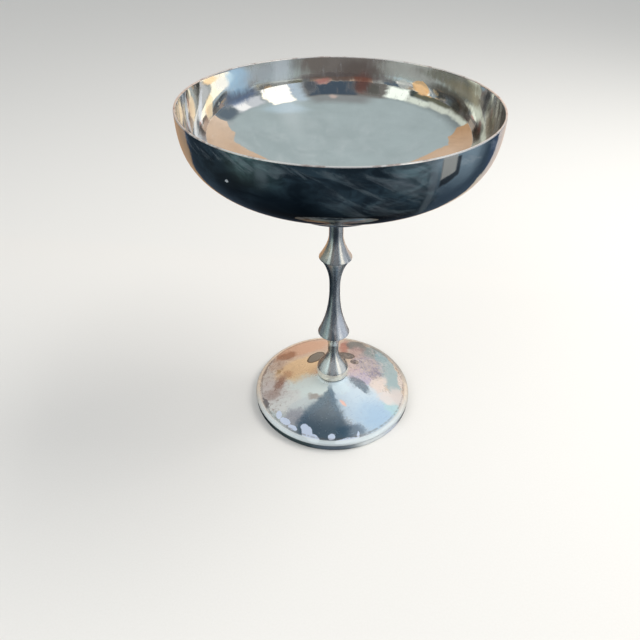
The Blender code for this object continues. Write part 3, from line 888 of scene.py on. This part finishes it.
def add_mottling(coat, flat, loose):
    """Fine tarnish: grime at the left, pale, slate and marbled blots at the right, scratches."""
    x, y = coat.split(flat)[:2]
    grime = coat.rise(coat.noise(flat, 0.6, 8.0, 0.8, 0.8), 0.50, 0.62)
    left_side = coat.times(coat.rise(x, -14, -30), coat.rise(y, -30, -18))
    coat.paint(coat.times(grime, left_side), (146, 122, 110), 0.75)
    blotch = coat.noise(flat, 0.45, 8.0, 0.8, 1.0)
    right_side = coat.patch(loose, 18, 12, 13, 18, -20, 0.4)
    coat.paint(coat.times(coat.rise(blotch, 0.52, 0.60), right_side), (214, 206, 212), 0.7)
    coat.paint(coat.times(coat.rise(blotch, 0.47, 0.40), right_side), (104, 110, 128), 0.6)
    marble = coat.between(coat.noise(flat, 0.28, 4.0, 0.6, 2.5), 0.47, 0.53, 0.02)
    marble = coat.times(marble, coat.patch(loose, 17, 8, 10, 10, 0, 0.5))
    coat.paint(marble, (224, 214, 196), 0.7)
    lines = coat.most(
        coat.hairlines(coat.place, -38, 0.35, 14, 0.36),
        coat.hairlines(coat.place, -30, 0.22, 9, 0.30),
    )
    lines = coat.times(lines, coat.patch(loose, 17, -22, 17, 12, 0, 0.5))
    coat.paint(lines, (126, 160, 196), 0.55)


# Painted light and shade round the band under the foot's edge, in bearings: dark at the front left,
# slate blue at the front, a painted highlight at the front right, grey beyond: (from, to, softness,
# tone).
RIM_LIGHT_AND_SHADE = (
    (-76, -8, 8, (30, 66, 70)),
    (-66, -46, 8, (34, 48, 58)),
    (-12, 16, 9, (112, 132, 152)),
    (18, 44, 6, (244, 250, 252)),
    (40, 62, 6, (220, 228, 244)),
    (56, 80, 8, (146, 150, 156)),
)


def rim_silver():
    """The band under the foot's edge: worn mottling, painted dark at the front left and along its
    bottom, with a painted highlight at the front right.
    """
    coat = polished("rim_band", (206, 212, 210), 0.22)
    worn = coat.noise(coat.stretched(3), 0.25, 4.0, 0.6)
    coat.paint(coat.rise(worn, 0.5, 0.66), (176, 186, 186))
    loose = coat.bearing_of(coat.wavy(coat.place, 0.1, 8.0))
    for left, right, soft, tone in RIM_LIGHT_AND_SHADE:
        coat.paint(coat.between(loose, left, right, soft), tone, 0.85)
    # Painted highlight: the front right sector is bright and dull.
    painted_highlight_sector = coat.between(loose, 16, 62, 8)
    # Painted contact shadow along the band's bottom edge, fainter in the bright sector.
    low = coat.times(coat.rise(coat.height, 1.2, 0.4), coat.blend(painted_highlight_sector, 0.5, 0.15))
    coat.paint(low, (70, 84, 94))
    coat.dull = coat.blend(painted_highlight_sector, 0.45, 0.95)
    return coat.finish()


def turned_metal(name, tint, roughness):
    """Plain turned metal for hidden pieces, with fine lathe rings and some oil staining."""
    coat = Coat(name, tint, roughness)
    rings = coat.noise(coat.join(0.0, 0.0, coat.height), 9.0, 2.0)
    tone_patches = coat.rise(coat.noise(coat.place, 0.5, 5.0, 0.6), 0.45, 0.75)
    coat.colour = coat.mix(tone_patches, coat.colour, scaled(0.6, coat.colour))
    coat.rough = coat.blend(rings, roughness - 0.08, roughness + 0.10)
    return coat.finish(rings, 0.25)


# ---------------------------------------------------------------- pieces


def make_bowl():
    high, radius = place_of("bowl")[1:]
    half = BOWL_SHEET / 2
    brim = high - half
    outside = bowl_side(radius, brim, 0, 80, 40)
    inside = bowl_side(radius, brim, BOWL_SHEET, 80, 40)
    edge = arc((radius - half, brim), half, half, 180, 0, 10)
    profile = inside[::-1] + edge[1:-1] + outside
    materials = [inside_silver(), outside_silver(), edge_silver()]
    last_inside = len(inside) - 1
    first_outside = last_inside + len(edge) - 2
    obj = turned(
        "bowl_cup",
        profile,
        WIDE_STEPS,
        materials,
        closed=False,
        material_at=lambda row: 0 if row < last_inside else 2 if row <= first_outside else 1,
        wander=dented(BOWL_DENTS, ((2, 0.1), (3, 0.45), (5, 0.8))),
    )
    fit(obj, "stem_and_bowl", "bowl_silver", "bowl")


def make_seat(silver):
    low, high, radius = place_of("bowl_seat")
    flange = place_of("bowl_boss")[2]
    disc_bottom = high - SEAT_DISC_THICKNESS
    across = SEAT_SWEEP_RADIUS - SEAT_HUB_RADIUS
    sweep = arc((SEAT_SWEEP_RADIUS, low), across, disc_bottom - low, 90, 180, 32)
    pocket_floor = high - BOSS_FLANGE - GAP
    profile = [(flange + GAP, high), (radius, high), (radius, disc_bottom)] + sweep
    profile += [
        (M4_HOLE, low),
        (M4_HOLE, low + SEAT_FLOOR),
        (BOSS_RADIUS + GAP, low + SEAT_FLOOR),
        (BOSS_RADIUS + GAP, pocket_floor),
        (flange + GAP, pocket_floor),
    ]
    obj = turned("bowl_seat_disc", rounded(profile, True), WIDE_STEPS, [silver], closed=True)
    fit(obj, "stem_and_bowl", "seat_silver", "bowl_seat")


def make_solder(silver):
    """The fillet of solder in the wedge between the cup and its seat, round the boss."""
    seat_top = place_of("bowl_seat")[1]
    flange = place_of("bowl_boss")[2]
    centre = (flange + SOLDER_REACH, seat_top + SOLDER_LIFT)
    bead = arc(centre, SOLDER_WIDTH, SOLDER_HEIGHT, 90, -270, 20)
    obj = turned("solder_fillet", bead[:-1], WIDE_STEPS, [silver], closed=True)
    fit(obj, "stem_and_bowl", "seat_silver")


def make_boss(brass):
    low, high, radius = place_of("bowl_boss")
    shoulder = high - BOSS_FLANGE
    outer = [(M4_HOLE, high), (radius, high), (radius, shoulder), (BOSS_RADIUS, shoulder)]
    outer += [(BOSS_RADIUS, low), (M4_HOLE, low)]
    bore = thread(M4_HOLE, low + TIP_CHAMFER, high - TIP_CHAMFER, M4_PITCH)
    profile = rounded(outer, True) + bore
    obj = turned("threaded_boss", profile, SMALL_STEPS, [brass], closed=True)
    fit(obj, "stem_and_bowl", "boss_brass", "bowl_boss")


def spigot(top, shoulder):
    """A threaded spigot from the axis at its top down to its shoulder."""
    tip = [(0, top), (M4_RADIUS - TIP_CHAMFER, top)]
    bottom = shoulder + SPIGOT_RELIEF
    side = thread(M4_RADIUS, top - TIP_CHAMFER, bottom, M4_PITCH, outer=True)
    return tip + side + [(M4_RADIUS, shoulder)]


def tapped(radius, pitch, mouth, end):
    """A threaded blind hole from its mouth to its end on the axis."""
    start = mouth + math.copysign(TIP_CHAMFER, end - mouth)
    return [(radius, mouth)] + thread(radius, start, end, pitch) + [(0, end)]


def make_stem_upper(silver):
    low, high, radius = place_of("stem_upper")
    shoulder = place_of("bowl_seat")[0] - GAP
    flare_end = shoulder - NECK_FLARE_HEIGHT
    neck = flare((NECK_RADIUS, flare_end), (NECK_FLARE_RADIUS, shoulder), NECK_FLARE_POWER, 20)
    bell = flare((NECK_RADIUS, NECK_BOTTOM), (radius, low + BELL_LIP), TOP_BELL_POWER, 40)
    profile = spigot(high, shoulder) + neck[::-1] + bell + [(radius, low)]
    profile += tapped(M4_HOLE, M4_PITCH, low, low + STUD_HOLE_DEPTH)
    obj = turned("stem_top_bell", rounded(profile, False), STEM_STEPS, [silver], closed=False)
    fit(obj, "stem_and_bowl", "stem_silver", "stem_upper")


def make_stud(steel):
    low, high = place_of("stem_stud")[:2]
    profile = [(0, high), (M4_RADIUS - TIP_CHAMFER, high)]
    profile += thread(M4_RADIUS, high - TIP_CHAMFER, low + TIP_CHAMFER, M4_PITCH, outer=True)
    profile += [(M4_RADIUS - TIP_CHAMFER, low), (0, low)]
    obj = turned("threaded_stud", profile, SMALL_STEPS, [steel], closed=False)
    fit(obj, "stem_and_bowl", "hidden_steel", "stem_stud")


def make_stem_middle(silver):
    low, high, radius = place_of("stem_middle")
    top_bell = place_of("stem_upper")[2]
    waist = (WAIST_RADIUS, WAIST_HEIGHT)
    upper = flare(waist, (top_bell - SEAM_STEP, high), WAIST_RISE_POWER, 44)
    lower = flare(waist, (radius, low + BELL_LIP), MIDDLE_BELL_POWER, 56)
    profile = tapped(M4_HOLE, M4_PITCH, high, high - STUD_HOLE_DEPTH)[::-1]
    profile += upper[::-1] + lower[1:] + [(radius, low)]
    profile += tapped(M4_HOLE, M4_PITCH, low, low + SPIGOT_HOLE_DEPTH)
    obj = turned("stem_middle_bell", rounded(profile, False), STEM_STEPS, [silver], closed=False)
    fit(obj, "stem_and_bowl", "stem_silver", "stem_middle")


def make_stem_lower(silver):
    low, high, radius = place_of("stem_lower")
    middle_low, _, middle_radius = place_of("stem_middle")
    shoulder = middle_low - GAP
    hole_top = place_of("foot_screw")[1] + GAP
    flare_end = (middle_radius - SEAM_STEP, shoulder)
    upper = flare((LOW_NECK_RADIUS, LOW_NECK_TOP), flare_end, LOW_NECK_POWER, 32)
    bell = swell((LOW_NECK_RADIUS, LOW_NECK_BOTTOM), (radius, low), LOW_BELL_SWELL, 40)
    profile = spigot(high, shoulder) + upper[::-1] + bell
    profile += tapped(M5_HOLE, M5_PITCH, low, hole_top)
    obj = turned("stem_low_bell", rounded(profile, False), STEM_STEPS, [silver], closed=False)
    fit(obj, "stem_and_bowl", "stem_silver", "stem_lower")


def make_collar(silver):
    low, high, radius = place_of("foot_collar")
    widest = high - COLLAR_SHOULDER
    top_round = radius - COLLAR_TOP_RADIUS
    foot_round = radius - COLLAR_FOOT_RADIUS
    shoulder = arc((COLLAR_TOP_RADIUS, widest), top_round, COLLAR_SHOULDER, 90, 0, 12)
    belly = arc((COLLAR_FOOT_RADIUS, widest), foot_round, widest - low, 0, -90, 20)
    profile = [(SCREW_PASS, high)] + shoulder + belly[1:] + [(SCREW_PASS, low)]
    obj = turned("collar_ring", rounded(profile, True), STEM_STEPS, [silver], closed=True)
    fit(obj, "foot", "stem_silver", "foot_collar")


def make_foot(silver):
    high, radius = place_of("foot")[1:]
    bead_up = FOOT_CONE_HEIGHT - FOOT_SKIRT_HEIGHT
    bead_out = radius - FOOT_CONE_RADIUS
    bead = arc((FOOT_CONE_RADIUS, FOOT_SKIRT_HEIGHT), bead_out, bead_up, 90, 0, 14)
    underside = high - FOOT_SHEET
    centre = (FOOT_LAND_RADIUS - FOOT_SHOULDER_INSET, high - FOOT_SHOULDER_HEIGHT)
    shoulder = arc(centre, FOOT_SHOULDER_WIDTH, FOOT_SHOULDER_HEIGHT, 90, 50, 6)
    cone = straight(shoulder[-1], bead[0], 48)
    profile = [(SCREW_PASS, high)] + shoulder[:-1] + cone[:-1] + bead
    profile += [(radius - FOOT_SHEET, FOOT_SKIRT_HEIGHT)]
    cone_top = (cone[0][0], cone[0][1] - FOOT_SHEET)
    profile += straight((FOOT_CONE_RADIUS, FOOT_CONE_HEIGHT - FOOT_SHEET), cone_top, 24)
    profile += [(FOOT_LAND_RADIUS - FOOT_SHEET / 4, underside), (SCREW_PASS, underside)]
    obj = turned(
        "foot_cone",
        profile,
        WIDE_STEPS,
        [silver],
        closed=True,
        wander=dented(FOOT_DENTS, ((2, 0.3), (3, 0.0), (5, 0.6))),
    )
    fit(obj, "foot", "foot_silver", "foot")


def make_rim(silver):
    low, high, radius = place_of("foot_rim")
    inner = radius - RIM_BAND_WIDTH
    chamfer = GAP
    profile = [(inner, high), (radius, high), (radius, low + chamfer), (radius - chamfer, low)]
    profile += [(inner, low)]
    obj = turned("foot_rim_band", rounded(profile, True), WIDE_STEPS, [silver], closed=True)
    fit(obj, "foot", "rim_silver", "foot_rim")


def make_flat_washer(steel):
    low, high, radius = place_of("flat_washer")
    profile = [(SCREW_PASS, high), (radius, high), (radius, low), (SCREW_PASS, low)]
    obj = turned("plain_washer", rounded(profile, True), SMALL_STEPS, [steel], closed=True)
    fit(obj, "foot", "hidden_steel", "flat_washer")


def make_lock_washer(steel):
    """A split ring whose two cut ends slant the same way."""
    low, high, radius = place_of("lock_washer")
    middle = (low + high) / 2
    outline = [(SCREW_PASS, high), (radius, high), (radius, low), (SCREW_PASS, low)]
    outline = rounded(outline, True)
    verts = []
    for k in range(SMALL_STEPS + 1):
        for across, height in outline:
            slit = LOCK_WASHER_SLIT / 2 / across
            slant = (height - middle) * math.tan(LOCK_WASHER_SLANT) / across
            angle = slit + (FULL_TURN - 2 * slit) * k / SMALL_STEPS - slant
            verts.append((across * math.cos(angle), across * math.sin(angle), height))
    size = len(outline)
    faces = []
    for k in range(SMALL_STEPS):
        for i in range(size):
            here = k * size + i
            below = k * size + (i + 1) % size
            faces.append((here, below, below + size, here + size))
    faces.append(tuple(range(size))[::-1])
    faces.append(tuple(range(SMALL_STEPS * size, (SMALL_STEPS + 1) * size)))
    mesh = bpy.data.meshes.new("spring_washer")
    mesh.from_pydata(verts, [], faces)
    mesh.materials.append(steel)
    mesh.shade_smooth()
    mesh.set_sharp_from_angle(angle=math.radians(40))
    obj = bpy.data.objects.new("spring_washer", mesh)
    bpy.context.scene.collection.objects.link(obj)
    fit(obj, "foot", "hidden_steel", "lock_washer")


def make_screw(steel):
    """The slotted foot screw, with a real right-hand thread that the stem climbs."""
    low, high, radius = place_of("foot_screw")
    head_top = low + SCREW_HEAD_HEIGHT
    head = [(M5_RADIUS, head_top), (radius, head_top), (radius, low + TIP_CHAMFER)]
    head += [(radius - TIP_CHAMFER, low), (0, low)]
    profile = [(0, high), (M5_RADIUS - TIP_CHAMFER, high)]
    shank = head_top + SCREW_RELIEF
    profile += thread(M5_RADIUS, high - TIP_CHAMFER, shank, M5_PITCH, outer=True)
    profile += rounded(head, False)
    obj = turned("slotted_foot_screw", profile, SMALL_STEPS, [steel], closed=False)
    cut_slot(obj, low, radius)
    fit(obj, "foot_screw", "hidden_steel", "foot_screw")


def cut_slot(obj, low, radius):
    """Cuts the driver's slot across the head, along X, and leaves the result as a plain mesh."""
    bpy.ops.mesh.primitive_cube_add(size=1, location=(0, 0, low))
    box = bpy.context.object
    box.scale = (3 * radius, SCREW_SLOT_WIDTH, 2 * SCREW_SLOT_DEPTH)
    modifier = obj.modifiers.new("Slot", "BOOLEAN")
    modifier.operation = "DIFFERENCE"
    modifier.object = box
    bpy.context.view_layer.update()
    graph = bpy.context.evaluated_depsgraph_get()
    cut = bpy.data.meshes.new_from_object(obj.evaluated_get(graph), depsgraph=graph)
    obj.modifiers.clear()
    clean = bmesh.new()
    clean.from_mesh(cut)
    bmesh.ops.remove_doubles(clean, verts=clean.verts, dist=0.001 * MM)
    bmesh.ops.dissolve_degenerate(clean, dist=0.001 * MM, edges=clean.edges)
    clean.to_mesh(cut)
    clean.free()
    obj.data = cut
    obj.data.set_sharp_from_angle(angle=math.radians(35))
    bpy.data.objects.remove(box)


def make_pieces():
    make_bowl()
    seat = seat_silver()
    stem = stem_silver()
    steel = turned_metal("machine_steel", (176, 178, 182), 0.34)
    brass = turned_metal("machined_brass", (214, 178, 108), 0.30)
    make_seat(seat)
    make_solder(seat)
    make_boss(brass)
    make_stem_upper(stem)
    make_stud(steel)
    make_stem_middle(stem)
    make_stem_lower(stem)
    make_collar(collar_silver())
    make_foot(foot_silver())
    make_rim(rim_silver())
    make_flat_washer(steel)
    make_lock_washer(steel)
    make_screw(steel)


# ---------------------------------------------------------------- stage

CEILING = shade(178, 194, 200)

# The room in mirror rays only, painted in this order over the ceiling. Bearings are those of the
# ray, and the last value is how bright it is: (left, right, bottom, top, softness, tone, strength)
ROOM = (
    (-180, 180, -10, 30, 9, (126, 136, 140), 1),
    (116, 168, -8, 36, 8, (186, 192, 198), 1),
    (-30, 30, 30, 56, 9, (146, 152, 156), 1),
    (-40, 40, 0, 36, 5, (118, 116, 114), 1),
    (48, 82, 42, 68, 9, (188, 210, 224), 1),
    (-124, -56, -5, 16, 3, (104, 106, 92), 1),
    (-124, -96, 12, 22, 3, (206, 214, 206), 1),
    (-98, -76, 15, 26, 3, (214, 222, 214), 1),
    (-78, -54, 18, 30, 3, (226, 236, 228), 1),
    (-58, -39, 6, 31, 2.5, (236, 246, 240), 1.35),
    (-76, -64, 2, 9, 1.5, (255, 214, 160), 1),
    (-62, -58, 5, 17, 1.5, (70, 80, 80), 1),
    (31, 43, 2, 46, 5, (186, 205, 222), 1),
    (42, 66, 1, 43, 1.5, (255, 250, 238), 1.6),
    (68, 96, 13, 33, 3, (212, 218, 228), 1),
    (84, 95, 14, 31, 2, (244, 246, 250), 1.2),
    (70, 116, 2, 12, 2.5, (98, 116, 136), 1),
    (97, 115, 12, 32, 4, (104, 118, 132), 1),
    (-16, 27, 0, 35, 2.5, (74, 88, 104), 1),
    (-20, -14, 4, 30, 1.5, (128, 104, 100), 1),
    (3, 8, 36, 45, 2, (200, 184, 180), 1),
    (9, 17, 2, 11, 1.5, (178, 144, 136), 1),
)


def mirror_room(graph):
    """The colour of the room along a ray, from its bearing and its elevation."""
    ray = graph.add("TexCoord", {}).outputs["Generated"]
    bearing = graph.bearing_of(ray)
    elevation = graph.math("DEGREES", graph.math("ARCSINE", graph.split(ray)[2]))
    wander = graph.noise(ray, 7.0, 4.0, 0.6, output="Color")
    wander = graph.split(graph.vector("SUBTRACT", wander, (0.5, 0.5, 0.5)))
    bearing = graph.math("ADD", bearing, graph.times(wander[0], 9.0))
    elevation = graph.math("ADD", elevation, graph.times(wander[1], 9.0))
    colour = graph.mix(graph.noise(ray, 5.0), CEILING, scaled(0.86, CEILING))
    for left, right, bottom, top, soft, tone, strength in ROOM:
        across = graph.between(bearing, left, right, soft)
        mask = graph.times(across, graph.between(elevation, bottom, top, soft))
        colour = graph.mix(mask, colour, scaled(strength, shade(*tone)))
    return colour


def make_world():
    """Even studio light, with the room in its place for mirror rays."""
    world = bpy.data.worlds.new("studio")
    bpy.context.scene.world = world
    world.use_nodes = True
    graph = Graph(world.node_tree)
    studio = world.node_tree.nodes["Background"]
    graph.feed(studio.inputs["Color"], shade(236, 238, 240))
    studio.inputs["Strength"].default_value = 0.75
    room = graph.add("Background", {"Color": mirror_room(graph), "Strength": 1.0}).outputs[0]
    output = world.node_tree.nodes["World Output"]
    graph.feed(output.inputs["Surface"], graph.mirrored(studio.outputs[0], room))


def plane(name, corners, material):
    """A flat piece of the stage."""
    mesh = bpy.data.meshes.new(name)
    mesh.from_pydata(corners, [], [tuple(range(len(corners)))])
    mesh.materials.append(material)
    obj = bpy.data.objects.new(name, mesh)
    bpy.context.scene.collection.objects.link(obj)
    return obj


FLOOR_REACH = 4.0
TABLE_TONE = shade(74, 85, 99)

# Window light that the table throws on at a grazing angle, by the bearing that it goes away to.
# (left, right, softness, tone, amount)
TABLE_GLARE = (
    (-78, -44, 12, (178, 206, 206), 0.75),
    (40, 112, 10, (190, 200, 212), 1.0),
)


def table_in_metal(coat):
    """The dark table that mirror rays see: speckled, shaded near the foot, bright at a glance."""
    speckle = coat.noise(coat.place, 0.6, 5.0, 0.7)
    table = coat.mix(speckle, scaled(0.8, TABLE_TONE), scaled(1.2, TABLE_TONE))
    shadow = coat.rise(coat.length(coat.stretched(0)), 20, 170, 0.35, 1.0)
    table = coat.mix(1.0, table, coat.join(shadow, shadow, shadow), "MULTIPLY")
    back = coat.add("NewGeometry", {}).outputs["Incoming"]
    x, y, steepness = coat.split(back)
    bearing = coat.math("DEGREES", coat.math("ARCTAN2", coat.times(x, -1.0), y))
    grazing = coat.rise(steepness, 0.78, 0.1)
    for left, right, soft, tone, amount in TABLE_GLARE:
        mask = coat.times(coat.between(bearing, left, right, soft), grazing, amount)
        table = coat.mix(mask, table, shade(*tone))
    return coat.add("Emission", {"Color": table, "Strength": 1.0}).outputs[0]


def make_floor():
    """A pale floor to the camera, and a dark table in the metal's reflections."""
    coat = Coat("pale_floor", (226, 224, 219), 0.7)
    coat.dull = 1.0
    coat.paint(coat.noise(coat.place, 1.2, 4.0), (232, 230, 226))
    material = coat.finish()
    output = coat.tree.nodes["Material Output"].inputs["Surface"]
    coat.feed(output, coat.mirrored(coat.shader.outputs[0], table_in_metal(coat)))
    reach = FLOOR_REACH
    corners = [(-reach, -reach, 0), (reach, -reach, 0), (reach, reach, 0), (-reach, reach, 0)]
    plane("floor", corners, material)


# The card's outline, across and up, and the distance behind the axis of its line at two places
# across. Its foot reaches wider than its top.
PAPER_LEFT = (-0.156, 0.142)
PAPER_RIGHT = (0.146, 0.118)
PAPER_OUTLINE = (
    (-0.290, 0.0),
    (0.190, 0.0),
    (0.190, 0.095),
    (0.146, 0.118),
    (0.146, 0.256),
    (0.052, 0.256),
    (0.014, 0.230),
    (-0.022, 0.230),
    (-0.062, 0.256),
    (-0.156, 0.256),
    (-0.156, 0.118),
    (-0.290, 0.095),
)


def make_paper():
    """A brown paper card behind the chalice that only the metal sees, sagging at its middle. It glows
    with its own colour, painted light for lit paper.
    """
    (x0, y0), (x1, y1) = PAPER_LEFT, PAPER_RIGHT
    outline = []
    for across, height in PAPER_OUTLINE:
        outline.append((across, y0 + (y1 - y0) * (across - x0) / (x1 - x0), height))
    coat = Coat("brown_paper", (190, 152, 116), 1.0)
    # Painted light: the card is paler towards the right, and darker in soft patches, painted crease
    # shade.
    coat.paint(coat.rise(coat.split(coat.place)[0], -200, 200), (236, 214, 196))
    painted_crease_shade = coat.rise(coat.noise(coat.place, 0.03, 4.0, 0.6, 1.5), 0.4, 0.7)
    crease_shade_colour = coat.mix(1.0, coat.colour, (0.9, 0.9, 0.9), "MULTIPLY")
    inputs = {"Color": coat.mix(painted_crease_shade, coat.colour, crease_shade_colour), "Strength": 1.0}
    glow = coat.add("Emission", inputs).outputs[0]
    coat.feed(coat.tree.nodes["Material Output"].inputs["Surface"], glow)
    card = plane("paper_card", outline, coat.material)
    card.visible_camera = False
    card.visible_diffuse = False
    card.visible_shadow = False
    card.visible_transmission = False


def soft_light(name, place, aim, size, energy, tint):
    """A square light that the metal doesn't mirror."""
    data = bpy.data.lights.new(name, "AREA")
    data.size = size
    data.energy = energy
    data.color = tint
    lamp = bpy.data.objects.new(name, data)
    lamp.location = place
    lamp.rotation_euler = (Vector(aim) - Vector(place)).to_track_quat("-Z", "Y").to_euler()
    lamp.visible_glossy = False
    bpy.context.scene.collection.objects.link(lamp)


# The photograph's viewing angle, found from the ellipses of the rim and the foot.
CAMERA_PLACE = (0, -0.21709, 0.21953)
CAMERA_PAN = math.radians(1.752)
CAMERA_TILT = math.radians(38.372)
CAMERA_ROLL = math.radians(0.405)
SENSOR_MM = 36
LENS_MM = 32.625


def make_camera():
    """The camera at the photograph's height, distance and lens, aimed by pan, tilt and roll."""
    data = bpy.data.cameras.new("camera")
    data.sensor_width = SENSOR_MM
    data.lens = LENS_MM
    data.clip_start = 0.005
    camera = bpy.data.objects.new("camera", data)
    turn = Matrix.Rotation(CAMERA_PAN, 4, "Z") @ Matrix.Rotation(math.pi / 2 - CAMERA_TILT, 4, "X")
    turn = turn @ Matrix.Rotation(CAMERA_ROLL, 4, "Z")
    camera.matrix_world = Matrix.Translation(CAMERA_PLACE) @ turn
    bpy.context.scene.collection.objects.link(camera)
    bpy.context.scene.camera = camera


# Soft lights: (name, place, aim, size, energy, tint)
LIGHTS = (
    ("key", (0.45, 0.10, 0.60), (0, 0, 0.05), 0.45, 4.0, (1.0, 0.98, 0.95)),
    ("fill", (-0.50, -0.35, 0.55), (0, 0, 0.08), 0.60, 1.6, (0.95, 0.97, 1.0)),
)


def make_stage():
    make_world()
    make_floor()
    make_paper()
    for light in LIGHTS:
        soft_light(*light)
    make_camera()
    bpy.context.scene.view_settings.view_transform = "Standard"
    bpy.context.scene.view_settings.look = "None"


make_pieces()
make_stage()
